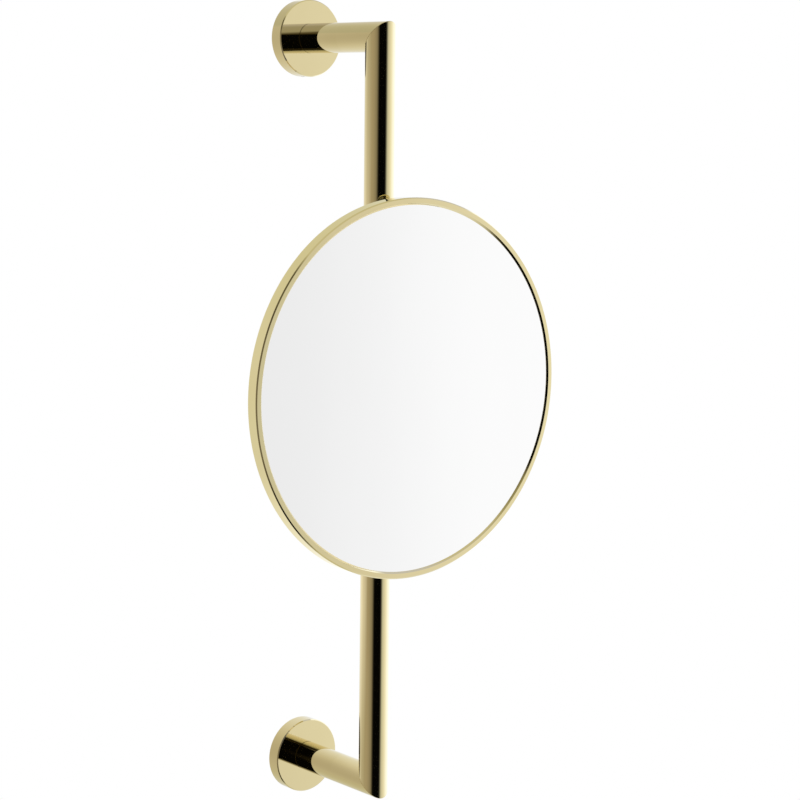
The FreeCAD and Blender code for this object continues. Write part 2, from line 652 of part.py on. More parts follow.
def mirror_rim():
    body = slider_body("mirror_rim")
    outline = sketch_on(body, "XY_Plane")
    draw_lines(outline, [(RIM_BORE, f"-{PAN_BACK}"), (RIM_RADIUS, f"-{PAN_BACK}"),
                         (RIM_RADIUS, f"-{RIM_FRONT}"), (LIP_BORE, f"-{RIM_FRONT}"),
                         (LIP_BORE, f"-{GLASS_FRONT}"), (RIM_BORE, f"-{GLASS_FRONT}")])
    turn(body, outline)
    chamfer_rings(body, [(RIM_RADIUS, f"-{RIM_FRONT}", "y")], "rim_chamfer")
    chamfer_rings(body, [(RIM_RADIUS, f"-{PAN_BACK}", "y")], "rim_back_chamfer")
    chamfer_rings(body, [(LIP_BORE, f"-{RIM_FRONT}", "y")], "lip_chamfer")


for end, rotation, height in (("upper", None, HALF_PITCH), ("lower", HALF_TURN, f"-{HALF_PITCH}")):
    wall_plate(f"{end}_wall_plate", height)
    flange_cap(f"{end}_flange", height)
    grub_screw(f"{end}_grub_screw", height)
    arm_tube(f"{end}_arm", rotation, height)
    arm_plug(f"{end}_arm_plug", height)
    arm_bolt(f"{end}_arm_bolt", height)
    corner_key(f"{end}_corner_key", rotation, height)
rail_tube()
slider_bush("upper_bush")
slider_bush("lower_bush", HALF_TURN)
slider_sleeve()
friction_pad()
disc_springs()
pressure_screw()
friction_washers()
hinge_bracket()
hinge_bolt()
hinge_nut()
bracket_screws()
stiffener_plate()
back_pan()
foam_pad()
mirror_glass()
mirror_rim()
doc.recompute()

for thing in doc.Objects:
    if "Invalid" in thing.State or "Error" in thing.State:
        raise RuntimeError(f"{thing.Label} failed: {thing.State}")
for part in sub_parts:
    if part.Shape.isNull() or not part.Shape.isValid() or not part.Shape.Solids:
        raise RuntimeError(f"{part.Label} has no valid solid")
os.makedirs("parts", exist_ok=True)
for part in sub_parts:
    part.Shape.exportStep(f"parts/{part.Label}.step")
    print(part.Label, len(part.Shape.Solids), round(part.Shape.Volume, 2))
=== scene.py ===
import json
import math
import bmesh
import bpy
from mathutils import Matrix, Quaternion, Vector


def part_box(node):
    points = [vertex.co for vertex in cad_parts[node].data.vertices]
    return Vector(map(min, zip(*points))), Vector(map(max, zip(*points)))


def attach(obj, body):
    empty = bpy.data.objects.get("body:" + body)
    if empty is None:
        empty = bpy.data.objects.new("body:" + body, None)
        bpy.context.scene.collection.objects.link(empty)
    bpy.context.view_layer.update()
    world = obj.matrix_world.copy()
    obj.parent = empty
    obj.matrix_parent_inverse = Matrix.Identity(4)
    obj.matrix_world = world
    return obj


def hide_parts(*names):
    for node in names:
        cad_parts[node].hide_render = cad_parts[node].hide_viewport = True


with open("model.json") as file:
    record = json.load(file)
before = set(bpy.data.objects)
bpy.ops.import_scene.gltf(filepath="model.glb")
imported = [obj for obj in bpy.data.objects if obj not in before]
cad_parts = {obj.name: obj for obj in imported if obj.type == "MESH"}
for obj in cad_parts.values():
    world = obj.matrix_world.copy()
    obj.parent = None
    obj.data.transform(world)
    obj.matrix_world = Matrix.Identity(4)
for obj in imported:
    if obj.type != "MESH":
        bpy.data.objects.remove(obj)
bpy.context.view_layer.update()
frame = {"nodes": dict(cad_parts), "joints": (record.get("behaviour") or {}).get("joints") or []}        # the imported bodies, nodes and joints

scene = bpy.context.scene
mm = 0.001
sameSpot = 0.000001                 # two points closer than this are one
overcut = 1 * mm                    # a cutter runs this far past the face that it cuts
hexSides = 6
holeSteps, smallSteps, screwSteps, bodySteps = 48, 64, 96, 128      # facets round pieces of each size
cutterTurn = math.radians(1.7)      # keeps the points of a round cutter off the edges that it crosses
sideAxis = Vector((1, 0, 0))
wallAxis = Vector((0, 1, 0))
upAxis = Vector((0, 0, 1))

# Places that several pieces share
joints = {joint["name"]: joint for joint in frame["joints"]}
railSpot = Vector(joints["head_swivel"]["pos_m"])    # rail axis at the head's height
pinSpot = Vector(joints["head_tilt"]["pos_m"])       # tilt hinge axis
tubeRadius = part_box("rail")[1].x
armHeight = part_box("upper_arm")[1].z - tubeRadius
headCentre = Vector((0, 0, railSpot.z))
railCentre = Vector((0, railSpot.y, 0))
pinCentre = Vector((0, pinSpot.y, pinSpot.z))
wallEnds = {"upper": armHeight, "lower": -armHeight}
print("frame read:", len(frame["nodes"]), "nodes")


# Selecting and shaping

def clearSelection():
    if bpy.context.mode != "OBJECT":
        bpy.ops.object.mode_set(mode="OBJECT")
    bpy.ops.object.select_all(action="DESELECT")


def activate(piece):
    clearSelection()
    piece.select_set(True)
    bpy.context.view_layer.objects.active = piece


def editPiece(piece):
    activate(piece)
    bpy.ops.object.mode_set(mode="EDIT")
    bpy.ops.mesh.select_mode(type="VERT")
    bpy.ops.mesh.select_all(action="DESELECT")


def pickPoints(piece, test):
    bpy.ops.mesh.select_mode(type="VERT")
    bpy.ops.mesh.select_all(action="DESELECT")
    mesh = bmesh.from_edit_mesh(piece.data)
    for point in mesh.verts:
        point.select_set(test(point.co))
    bmesh.update_edit_mesh(piece.data)


def pickEdges(piece, test):
    bpy.ops.mesh.select_mode(type="EDGE")
    bpy.ops.mesh.select_all(action="DESELECT")
    mesh = bmesh.from_edit_mesh(piece.data)
    for edge in mesh.edges:
        edge.select_set(test(edge.verts[0].co) and test(edge.verts[1].co))
    bmesh.update_edit_mesh(piece.data)


def closeSeams():
    bpy.ops.mesh.select_all(action="SELECT")
    bpy.ops.mesh.remove_doubles(threshold=sameSpot)
    bpy.ops.mesh.normals_make_consistent(inside=False)
    bpy.ops.object.mode_set(mode="OBJECT")


# A section drawn by extruding one point, with its corners rounded, then spun round an axis.
# Each corner is (radius, place along the axis) or (radius, place, round).
def turnedPiece(name, axis, centre, corners, steps=192, closed=True, roundSteps=6, turn=0):
    across = Quaternion(axis, turn) @ (upAxis if axis == sideAxis else sideAxis)
    points = [centre + axis * along + across * radius for radius, along, *rest in corners]
    clearSelection()
    bpy.ops.mesh.primitive_plane_add(size=mm, location=points[0])
    piece = bpy.context.object
    piece.name = name
    piece.data.name = name
    bpy.ops.object.transform_apply(location=True, rotation=False, scale=False)
    bpy.ops.object.mode_set(mode="EDIT")
    bpy.ops.mesh.select_mode(type="VERT")
    bpy.ops.mesh.select_all(action="SELECT")
    bpy.ops.mesh.merge(type="CENTER")
    for start, end in zip(points, points[1:]):
        bpy.ops.mesh.extrude_region_move(TRANSFORM_OT_translate={"value": end - start})
    if closed:
        pickPoints(piece, lambda spot: min((spot - points[0]).length, (spot - points[-1]).length) < sameSpot)
        bpy.ops.mesh.edge_face_add()
    for point, corner in zip(points, corners):
        if len(corner) > 2:
            pickPoints(piece, lambda spot: (spot - point).length < sameSpot)
            bpy.ops.mesh.bevel(offset=corner[2], segments=roundSteps, affect="VERTICES")
    bpy.ops.mesh.select_all(action="SELECT")
    bpy.ops.mesh.spin(steps=steps, angle=math.tau, center=centre, axis=axis)
    closeSeams()
    return piece


def repeatRound(piece, axis, centre, count):
    editPiece(piece)
    bpy.ops.mesh.select_all(action="SELECT")
    bpy.ops.mesh.spin(steps=count, dupli=True, angle=math.tau, center=centre, axis=axis)
    closeSeams()


def combine(piece, other, operation):
    activate(piece)
    bpy.ops.object.modifier_add(type="BOOLEAN")
    change = piece.modifiers[-1]
    change.operation = operation
    change.solver = "EXACT"
    change.object = other
    bpy.ops.object.modifier_apply(modifier=change.name)
    activate(other)
    bpy.ops.object.delete()


def socketCutter(axis, centre, flats, mouth, floor):
    # six-sided key socket, its mouth carried past the face that it is cut into
    corner = flats / math.sqrt(3)
    over = mouth + (mouth - floor) / 2
    return turnedPiece("cutter", axis, centre, [(0, over), (corner, over), (corner, floor), (0, floor)],
                       steps=hexSides, closed=False)


def roundCutter(axis, centre, radius, start, end, steps=holeSteps, turn=cutterTurn):
    return turnedPiece("cutter", axis, centre, [(0, start), (radius, start), (radius, end), (0, end)],
                       steps=steps, closed=False, turn=turn)


def softenEdges(piece, width, steps=2, angle=40):
    activate(piece)
    bpy.ops.object.modifier_add(type="BEVEL")
    change = piece.modifiers[-1]
    change.width = width
    change.segments = steps
    change.limit_method = "ANGLE"
    change.angle_limit = math.radians(angle)
    change.use_clamp_overlap = True
    bpy.ops.object.modifier_apply(modifier=change.name)


def finishPiece(piece, material, body, nodes, smoothAngle=32, faceWeight=90):
    activate(piece)
    bpy.ops.object.shade_smooth_by_angle(angle=math.radians(smoothAngle))
    bpy.ops.object.modifier_add(type="WEIGHTED_NORMAL")
    change = piece.modifiers[-1]
    change.weight = faceWeight
    change.keep_sharp = True
    bpy.ops.object.modifier_apply(modifier=change.name)
    piece.data.materials.clear()
    piece.data.materials.append(material)
    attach(piece, body)
    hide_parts(*nodes)


# Finishes

def newFinish(name):
    material = bpy.data.materials.new(name)
    material.use_nodes = True
    tree = material.node_tree
    shader = next(node for node in tree.nodes if node.type == "BSDF_PRINCIPLED")
    coords = tree.nodes.new("ShaderNodeTexCoord")
    return material, tree, shader, coords


def noiseNode(tree, coords, stretch, scale, detail, roughness=0.5):
    mapping = tree.nodes.new("ShaderNodeMapping")
    mapping.inputs["Scale"].default_value = stretch
    noise = tree.nodes.new("ShaderNodeTexNoise")
    noise.inputs["Scale"].default_value = scale
    noise.inputs["Detail"].default_value = detail
    noise.inputs["Roughness"].default_value = roughness
    tree.links.new(coords.outputs["Object"], mapping.inputs["Vector"])
    tree.links.new(mapping.outputs["Vector"], noise.inputs["Vector"])
    return noise.outputs["Fac"]


def toneRamp(tree, factor, low, high, start=0.35, end=0.65):
    ramp = tree.nodes.new("ShaderNodeValToRGB")
    ramp.color_ramp.elements[0].position = start
    ramp.color_ramp.elements[0].color = (*low, 1)
    ramp.color_ramp.elements[1].position = end
    ramp.color_ramp.elements[1].color = (*high, 1)
    tree.links.new(factor, ramp.inputs["Fac"])
    return ramp.outputs["Color"]


def levelRange(tree, factor, low, high, start=0.3, end=0.7):
    span = tree.nodes.new("ShaderNodeMapRange")
    span.inputs["From Min"].default_value = start
    span.inputs["From Max"].default_value = end
    span.inputs["To Min"].default_value = low
    span.inputs["To Max"].default_value = high
    tree.links.new(factor, span.inputs["Value"])
    return span.outputs["Result"]


def reliefNode(tree, shader, factor, strength, depth):
    bump = tree.nodes.new("ShaderNodeBump")
    bump.inputs["Strength"].default_value = strength
    bump.inputs["Distance"].default_value = depth
    tree.links.new(factor, bump.inputs["Height"])
    tree.links.new(bump.outputs["Normal"], shader.inputs["Normal"])


# One dictionary for each metal: two tones that the noise mixes, how sharp it shines, and its fine marks
metalNoise = {"patchDetail": 3, "markDetail": 4, "markRoughness": 0.6}
polishedBrass = {"tones": ((0.765, 0.65, 0.355), (0.785, 0.67, 0.375)), "shine": (0.02, 0.035),
                 "patches": 24, "marks": 900, "markStretch": (1, 1, 0.15), "markDepth": 0.001 * mm,
                 "markStrength": 0.02}
turnedBrass = {"tones": ((0.64, 0.50, 0.24), (0.76, 0.62, 0.33)), "shine": (0.22, 0.38),
               "patches": 140, "marks": 1400, "markStretch": (0.2, 4, 0.2), "markDepth": 0.02 * mm,
               "markStrength": 0.4}
zincSteel = {"tones": ((0.58, 0.59, 0.61), (0.64, 0.65, 0.66)), "shine": (0.26, 0.36),
             "patches": 220, "marks": 1800, "markStretch": (1, 1, 1), "markDepth": 0.02 * mm,
             "markStrength": 0.3}
fastenerSteel = {"tones": ((0.50, 0.50, 0.51), (0.60, 0.60, 0.61)), "shine": (0.16, 0.28),
                 "patches": 300, "marks": 2500, "markStretch": (1, 1, 1), "markDepth": 0.01 * mm,
                 "markStrength": 0.25}
springSteel = {"tones": ((0.24, 0.24, 0.26), (0.38, 0.38, 0.40)), "shine": (0.25, 0.40),
               "patches": 300, "marks": 2500, "markStretch": (1, 1, 1), "markDepth": 0.01 * mm,
               "markStrength": 0.3}


def metalFinish(name, look):
    material, tree, shader, coords = newFinish(name)
    shader.inputs["Metallic"].default_value = 1.0
    patches = noiseNode(tree, coords, (1, 1, 1), look["patches"], metalNoise["patchDetail"])
    marks = noiseNode(tree, coords, look["markStretch"], look["marks"], metalNoise["markDetail"],
                      metalNoise["markRoughness"])
    tree.links.new(toneRamp(tree, patches, *look["tones"]), shader.inputs["Base Color"])
    tree.links.new(levelRange(tree, marks, *look["shine"]), shader.inputs["Roughness"])
    reliefNode(tree, shader, marks, look["markStrength"], look["markDepth"])
    return material


acetalLook = {"tones": ((0.80, 0.79, 0.74), (0.87, 0.86, 0.82)), "shine": (0.38, 0.52), "patches": 180,
              "patchDetail": 2, "grain": 2600, "grainDetail": 3, "depth": 0.01 * mm, "strength": 0.3}
foamLook = {"tones": ((0.055, 0.055, 0.06), (0.14, 0.14, 0.15)), "shine": (0.8, 0.95), "cells": 1500,
            "cellSpan": (0.1, 0.6), "depth": 0.25 * mm, "strength": 0.6}
glassLook = {"colour": (0.942, 0.942, 0.942), "edgeColour": (0.60, 0.66, 0.63), "edgeBand": 1.2 * mm,
             "tint": 0.008, "patches": 25, "patchDetail": 2, "stretch": (1, 1, 0.25)}


def acetalFinish():
    material, tree, shader, coords = newFinish("acetal")
    patches = noiseNode(tree, coords, (1, 1, 1), acetalLook["patches"], acetalLook["patchDetail"])
    grain = noiseNode(tree, coords, (1, 1, 1), acetalLook["grain"], acetalLook["grainDetail"])
    tree.links.new(toneRamp(tree, patches, *acetalLook["tones"]), shader.inputs["Base Color"])
    tree.links.new(levelRange(tree, grain, *acetalLook["shine"]), shader.inputs["Roughness"])
    reliefNode(tree, shader, grain, acetalLook["strength"], acetalLook["depth"])
    return material


def foamFinish():
    material, tree, shader, coords = newFinish("foam")
    cells = tree.nodes.new("ShaderNodeTexVoronoi")
    cells.inputs["Scale"].default_value = foamLook["cells"]
    tree.links.new(coords.outputs["Object"], cells.inputs["Vector"])
    distance = cells.outputs["Distance"]
    span = foamLook["cellSpan"]
    tree.links.new(toneRamp(tree, distance, *foamLook["tones"], *span), shader.inputs["Base Color"])
    tree.links.new(levelRange(tree, distance, *foamLook["shine"], *span), shader.inputs["Roughness"])
    reliefNode(tree, shader, distance, foamLook["strength"], foamLook["depth"])
    return material


def glassFinish(radius):
    # silvered face with a faint cloud of tone, darker and greener in a narrow band at its edge
    material, tree, shader, coords = newFinish("silveredGlass")
    shader.inputs["Metallic"].default_value = 1.0
    shader.inputs["Roughness"].default_value = 0.0
    bright = glassLook["colour"]
    dim = tuple(tone - glassLook["tint"] for tone in bright)
    cloud = noiseNode(tree, coords, glassLook["stretch"], glassLook["patches"], glassLook["patchDetail"])
    face = toneRamp(tree, cloud, dim, bright)
    place = tree.nodes.new("ShaderNodeMapping")
    place.inputs["Location"].default_value = (0, 0, -headCentre.z)
    place.inputs["Scale"].default_value = (1, 0, 1)
    tree.links.new(coords.outputs["Object"], place.inputs["Vector"])
    spread = tree.nodes.new("ShaderNodeVectorMath")
    spread.operation = "LENGTH"
    tree.links.new(place.outputs["Vector"], spread.inputs[0])
    edge = levelRange(tree, spread.outputs["Value"], 0, 1, radius - glassLook["edgeBand"], radius)
    blend = tree.nodes.new("ShaderNodeMix")
    blend.data_type = "RGBA"
    tree.links.new(edge, blend.inputs["Factor"])
    tree.links.new(face, blend.inputs["A"])
    blend.inputs["B"].default_value = (*glassLook["edgeColour"], 1)
    mixed = next(socket for socket in blend.outputs if socket.type == "RGBA")
    tree.links.new(mixed, shader.inputs["Base Color"])
    return material


finishes = {
    "polished_brass": metalFinish("polishedBrass", polishedBrass),
    "turned_brass": metalFinish("turnedBrass", turnedBrass),
    "zinc_steel": metalFinish("zincSteel", zincSteel),
    "fastener_steel": metalFinish("fastenerSteel", fastenerSteel),
    "spring_steel": metalFinish("springSteel", springSteel),
    "acetal": acetalFinish(),
    "foam": foamFinish(),
    "silvered_glass": glassFinish(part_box("mirror_glass")[1].x),
}
print("finishes made:", len(finishes))


def finish(piece, body, slot, *nodes):
    finishPiece(piece, finishes[slot], body, nodes)


# Rail and arms: the same tube, mitred at the corners with a fine eased edge along each mitre

tube = {"wall": 1.2 * mm, "steps": 192, "mitreEase": 0.3 * mm, "easeSteps": 2, "endChamfer": 0.3 * mm,
        "overrun": 4 * mm, "edgeReach": 0.01 * mm}


def mitredTube(name, axis, centre, low, high, mitres):
    # mitres are (point on the cut, direction that is cut away)
    bore = tubeRadius - tube["wall"]
    chamfer = tube["endChamfer"]
    piece = turnedPiece(name, axis, centre,
                        [(bore, low), (tubeRadius, low), (tubeRadius, high - chamfer),
                         (tubeRadius - chamfer, high), (bore, high)], steps=tube["steps"])
    for spot, away in mitres:
        def onCut(place):
            return abs((place - spot).dot(away)) < sameSpot

        def onOuterCut(place):
            fromAxis = place - centre
            fromAxis -= axis * fromAxis.dot(axis)
            return onCut(place) and abs(fromAxis.length - tubeRadius) < tube["edgeReach"]

        editPiece(piece)
        bpy.ops.mesh.select_all(action="SELECT")
        bpy.ops.mesh.bisect(plane_co=spot, plane_no=away, clear_outer=True, clear_inner=False, use_fill=False)
        pickEdges(piece, onCut)
        bpy.ops.mesh.bridge_edge_loops()
        pickEdges(piece, onOuterCut)
        bpy.ops.mesh.bevel(offset=tube["mitreEase"], segments=tube["easeSteps"], affect="EDGES")
        closeSeams()
    return piece


corners = {end: Vector((0, railSpot.y, height)) for end, height in wallEnds.items()}
outwards = {"upper": Vector((0, 1, 1)).normalized(), "lower": Vector((0, 1, -1)).normalized()}
railEnd = armHeight + tubeRadius + tube["overrun"]
rail = mitredTube("rail", upAxis, railCentre, -railEnd, railEnd,
                  [(corners[end], outwards[end]) for end in wallEnds])
finish(rail, "frame", "polished_brass", "rail")

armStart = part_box("upper_arm")[1].y
for end, height in wallEnds.items():
    arm = mitredTube(f"{end}Arm", wallAxis, Vector((0, 0, height)), railSpot.y - tubeRadius - tube["overrun"],
                     armStart, [(corners[end], -outwards[end])])
    finish(arm, "frame", "polished_brass", f"{end}_arm")
print("rail and arms made")


# Wall flanges, with the plate, bolt and grub screw that show from behind and below

flange = {"front": 2.5 * mm, "skirt": 2 * mm, "edgeChamfer": 0.5 * mm, "boltHole": 3.05 * mm,
          "grubHole": 2.05 * mm, "rimEase": 0.25 * mm, "steps": 224}
plate = {"bore": 7 * mm, "screwAcross": 12.5 * mm, "screwHole": 2.25 * mm, "sink": 4.5 * mm, "screws": 2,
         "ease": 0.3 * mm, "grubSeat": 2 * mm}
armBolt = {"shank": 3 * mm, "headHeight": 3 * mm, "key": 4 * mm, "keyDepth": 2 * mm, "ease": 0.4 * mm}
grub = {"key": 2 * mm, "keyDepth": 1.5 * mm, "ease": 0.3 * mm}

for end, height in wallEnds.items():
    centre = Vector((0, 0, height))
    flangeLow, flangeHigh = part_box(f"{end}_flange")
    outer = flangeHigh.x
    face = flangeLow.y
    inside = outer - flange["skirt"]
    ceiling = face + flange["front"]
    grubLow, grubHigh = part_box(f"{end}_grub_screw")
    grubCentre = Vector((0, (grubLow.y + grubHigh.y) / 2, 0))

    edge = flange["edgeChamfer"]
    cap = turnedPiece(f"{end}Flange", wallAxis, centre,
                      [(flange["boltHole"], ceiling), (flange["boltHole"], face), (outer - edge, face),
                       (outer, face + edge), (outer, 0, flange["rimEase"]), (inside, 0), (inside, ceiling)],
                      steps=flange["steps"])
    grubHole = roundCutter(upAxis, grubCentre, flange["grubHole"], height - outer - 2 * overcut,
                           height - inside + 2 * overcut)
    combine(cap, grubHole, "DIFFERENCE")
    finish(cap, "frame", "polished_brass", f"{end}_flange")

    plateLow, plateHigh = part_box(f"{end}_wall_plate")
    ring = turnedPiece(f"{end}WallPlate", wallAxis, centre,
                       [(plate["bore"], plateLow.y), (plate["bore"], 0, plate["ease"]),
                        (plateHigh.x, 0, plate["ease"]), (plateHigh.x, plateLow.y)])
    sinkEnd = plateLow.y + plate["sink"] - plate["screwHole"]
    holes = turnedPiece("cutter", wallAxis, centre + sideAxis * plate["screwAcross"],
                        [(0, overcut), (plate["screwHole"], overcut), (plate["screwHole"], sinkEnd),
                         (plate["sink"] + overcut, plateLow.y - overcut), (0, plateLow.y - overcut)],
                        steps=smallSteps, closed=False, turn=cutterTurn)
    repeatRound(holes, wallAxis, centre, plate["screws"])
    combine(ring, holes, "DIFFERENCE")
    seat = roundCutter(upAxis, grubCentre, flange["grubHole"], height - plateHigh.x - overcut,
                       height - plateHigh.x + plate["grubSeat"])
    combine(ring, seat, "DIFFERENCE")
    finish(ring, "frame", "zinc_steel", f"{end}_wall_plate")

    boltLow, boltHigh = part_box(f"{end}_arm_bolt")
    headUnder = boltHigh.y - armBolt["headHeight"]
    shank, ease = armBolt["shank"], armBolt["ease"]
    bolt = turnedPiece(f"{end}ArmBolt", wallAxis, centre,
                       [(0, boltLow.y), (shank, boltLow.y, ease), (shank, headUnder), (boltHigh.x, headUnder),
                        (boltHigh.x, boltHigh.y, ease), (0, boltHigh.y)], steps=screwSteps, closed=False)
    keySocket = socketCutter(wallAxis, centre, armBolt["key"], boltHigh.y, boltHigh.y - armBolt["keyDepth"])
    combine(bolt, keySocket, "DIFFERENCE")
    finish(bolt, "frame", "fastener_steel", f"{end}_arm_bolt")

    screw = turnedPiece(f"{end}GrubScrew", upAxis, grubCentre,
                        [(0, grubLow.z), (grubHigh.x, grubLow.z, grub["ease"]),
                         (grubHigh.x, grubHigh.z, grub["ease"]), (0, grubHigh.z)],
                        steps=smallSteps, closed=False)
    keySocket = socketCutter(upAxis, grubCentre, grub["key"], grubLow.z, grubLow.z + grub["keyDepth"])
    combine(screw, keySocket, "DIFFERENCE")
    finish(screw, "frame", "fastener_steel", f"{end}_grub_screw")
print("wall flanges made")


# Slider: two bushes, the sleeve with its tongue and boss, and the pressure screw

bush = {"bore": 8.05 * mm, "outer": 9.55 * mm, "flange": 1.5 * mm, "ease": 0.3 * mm}
sleeve = {"bore": 9.6 * mm, "chamfer": 0.6 * mm, "bossRadius": 6 * mm, "bossChamfer": 0.5 * mm,
          "bossHole": 4.05 * mm, "tongue": 4.5 * mm, "knuckle": 3.5 * mm, "pinHole": 2.05 * mm,
          "ease": 0.2 * mm}
pressure = {"key": 4 * mm, "keyDepth": 2 * mm, "ease": 0.4 * mm}

for end, side in (("upper", 1), ("lower", -1)):
    bushLow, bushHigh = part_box(f"{end}_bush")
    top, bottom = (bushHigh.z, bushLow.z) if side > 0 else (bushLow.z, bushHigh.z)
    under = top - side * bush["flange"]
    bore, outer, ease = bush["bore"], bush["outer"], bush["ease"]
    piece = turnedPiece(f"{end}Bush", upAxis, railCentre,
                        [(bore, bottom), (outer, bottom, ease), (outer, under), (bushHigh.x, under),
                         (bushHigh.x, top, ease), (bore, top, ease)], steps=bodySteps)
    finish(piece, "carriage", "acetal", f"{end}_bush")

sleeveLow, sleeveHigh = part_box("slider_sleeve")
outer, bossEnd = sleeveHigh.x, sleeveHigh.y
chamfer = sleeve["chamfer"]
body = turnedPiece("sliderSleeve", upAxis, railCentre,
                   [(0, sleeveLow.z), (outer - chamfer, sleeveLow.z), (outer, sleeveLow.z + chamfer),
                    (outer, sleeveHigh.z - chamfer), (outer - chamfer, sleeveHigh.z), (0, sleeveHigh.z)],
                   steps=bodySteps, closed=False)
radius, chamfer = sleeve["bossRadius"], sleeve["bossChamfer"]
boss = turnedPiece("boss", wallAxis, headCentre,
                   [(0, railSpot.y), (radius, railSpot.y), (radius, bossEnd - chamfer),
                    (radius - chamfer, bossEnd), (0, bossEnd)], steps=screwSteps, closed=False)
combine(body, boss, "UNION")


def barrelWithWeb(name, start, end, radius, webEnd):
    # round barrel on the hinge axis, with one half drawn out to a web that ends flat at webEnd
    barrel = roundCutter(sideAxis, pinCentre, radius, start, end, screwSteps, turn=0)
    barrel.name = name
    editPiece(barrel)
    way = math.copysign(1, webEnd - pinSpot.y)
    pickPoints(barrel, lambda spot: (spot.y - pinSpot.y) * way > sameSpot)
    bpy.ops.transform.resize(value=(1, 0, 1), center_override=(0, webEnd, 0))
    closeSeams()
    return barrel


tongue = barrelWithWeb("tongue", -sleeve["tongue"], sleeve["tongue"], sleeve["knuckle"], railSpot.y)
combine(body, tongue, "UNION")
reach = outer * 2
railHole = roundCutter(upAxis, railCentre, sleeve["bore"], sleeveLow.z - reach, sleeveHigh.z + reach,
                       bodySteps)
combine(body, railHole, "DIFFERENCE")
bossHole = roundCutter(wallAxis, headCentre, sleeve["bossHole"], railSpot.y, bossEnd + reach, screwSteps)
combine(body, bossHole, "DIFFERENCE")
combine(body, roundCutter(sideAxis, pinCentre, sleeve["pinHole"], -reach, reach), "DIFFERENCE")
softenEdges(body, sleeve["ease"])
finish(body, "slider", "polished_brass", "slider_sleeve")

screwLow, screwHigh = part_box("pressure_screw")
screw = turnedPiece("pressureScrew", wallAxis, headCentre,
                    [(0, screwLow.y), (screwHigh.x, screwLow.y, pressure["ease"]),
                     (screwHigh.x, screwHigh.y, pressure["ease"]), (0, screwHigh.y)],
                    steps=screwSteps, closed=False)
keySocket = socketCutter(wallAxis, headCentre, pressure["key"], screwHigh.y,
                         screwHigh.y - pressure["keyDepth"])
combine(screw, keySocket, "DIFFERENCE")
finish(screw, "slider", "fastener_steel", "pressure_screw")
print("slider made")


# Tilt hinge: bracket with two ears, its countersunk screws, the bolt and its nut

bracket = {"plate": 2 * mm, "chamfer": 0.5 * mm, "earFace": 5.1 * mm, "earEnd": 9.1 * mm, "barrel": 3.5 * mm,
           "pinHole": 2.05 * mm, "screwCircle": 16 * mm, "screwHole": 1.55 * mm, "sink": 2.85 * mm,
           "screws": 4, "ease": 0.2 * mm}
bracketScrew = {"shank": 1.5 * mm, "head": 2.8 * mm, "key": 2 * mm, "keyDepth": 0.9 * mm, "ease": 0.12 * mm,
                "easeSteps": 3}
hingeBolt = {"shank": 2 * mm, "headHeight": 2.6 * mm, "key": 2.5 * mm, "keyDepth": 1.4 * mm,
             "ease": 0.35 * mm}
hingeNut = {"bore": 2.05 * mm, "corner": 0.45 * mm, "fall": 0.26 * mm}

bracketLow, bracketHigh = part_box("hinge_bracket")
plateFront = bracketLow.y
plateBack = plateFront + bracket["plate"]
edge = bracketHigh.x
piece = turnedPiece("hingeBracket", wallAxis, headCentre,
                    [(0, plateFront), (edge, plateFront), (edge, plateBack - bracket["chamfer"]),
                     (edge - bracket["chamfer"], plateBack), (0, plateBack)], steps=bodySteps, closed=False)
for start, end in ((-bracket["earEnd"], -bracket["earFace"]), (bracket["earFace"], bracket["earEnd"])):
    ear = barrelWithWeb("ear", start, end, bracket["barrel"], plateFront + bracket["plate"] / 2)
    combine(piece, ear, "UNION")
combine(piece, roundCutter(sideAxis, pinCentre, bracket["pinHole"], -reach, reach), "DIFFERENCE")
diagonal = bracket["screwCircle"] / math.sqrt(2)
screwCentre = headCentre + Vector((diagonal, 0, diagonal))
sinkEnd = plateBack - (bracket["sink"] - bracket["screwHole"])
holes = turnedPiece("cutter", wallAxis, screwCentre,
                    [(0, plateFront - overcut), (bracket["screwHole"], plateFront - overcut),
                     (bracket["screwHole"], sinkEnd), (bracket["sink"] + overcut, plateBack + overcut),
                     (0, plateBack + overcut)], steps=holeSteps, closed=False, turn=cutterTurn)
repeatRound(holes, wallAxis, headCentre, bracket["screws"])
combine(piece, holes, "DIFFERENCE")
softenEdges(piece, bracket["ease"])
finish(piece, "head", "polished_brass", "hinge_bracket")

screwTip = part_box("bracket_screws")[0].y
headEnd = plateBack - (bracketScrew["head"] - bracketScrew["shank"])
shank, ease = bracketScrew["shank"], bracketScrew["ease"]
screws = turnedPiece("bracketScrews", wallAxis, screwCentre,
                     [(0, screwTip), (shank, screwTip, ease), (shank, headEnd),
                      (bracketScrew["head"], plateBack, ease), (0, plateBack)],
                     steps=smallSteps, closed=False, roundSteps=bracketScrew["easeSteps"])
keySocket = socketCutter(wallAxis, screwCentre, bracketScrew["key"], plateBack,
                         plateBack - bracketScrew["keyDepth"])
combine(screws, keySocket, "DIFFERENCE")
repeatRound(screws, wallAxis, headCentre, bracket["screws"])
finish(screws, "head", "fastener_steel", "bracket_screws")

boltLow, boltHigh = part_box("hinge_bolt")
headUnder = boltHigh.x - hingeBolt["headHeight"]
headRadius = bracket["barrel"]
shank, ease = hingeBolt["shank"], hingeBolt["ease"]
bolt = turnedPiece("hingeBolt", sideAxis, pinCentre,
                   [(0, boltLow.x), (shank, boltLow.x, ease), (shank, headUnder), (headRadius, headUnder),
                    (headRadius, boltHigh.x, ease), (0, boltHigh.x)], steps=screwSteps, closed=False)
keySocket = socketCutter(sideAxis, pinCentre, hingeBolt["key"], boltHigh.x,
                         boltHigh.x - hingeBolt["keyDepth"])
combine(bolt, keySocket, "DIFFERENCE")
finish(bolt, "head", "fastener_steel", "hinge_bolt")

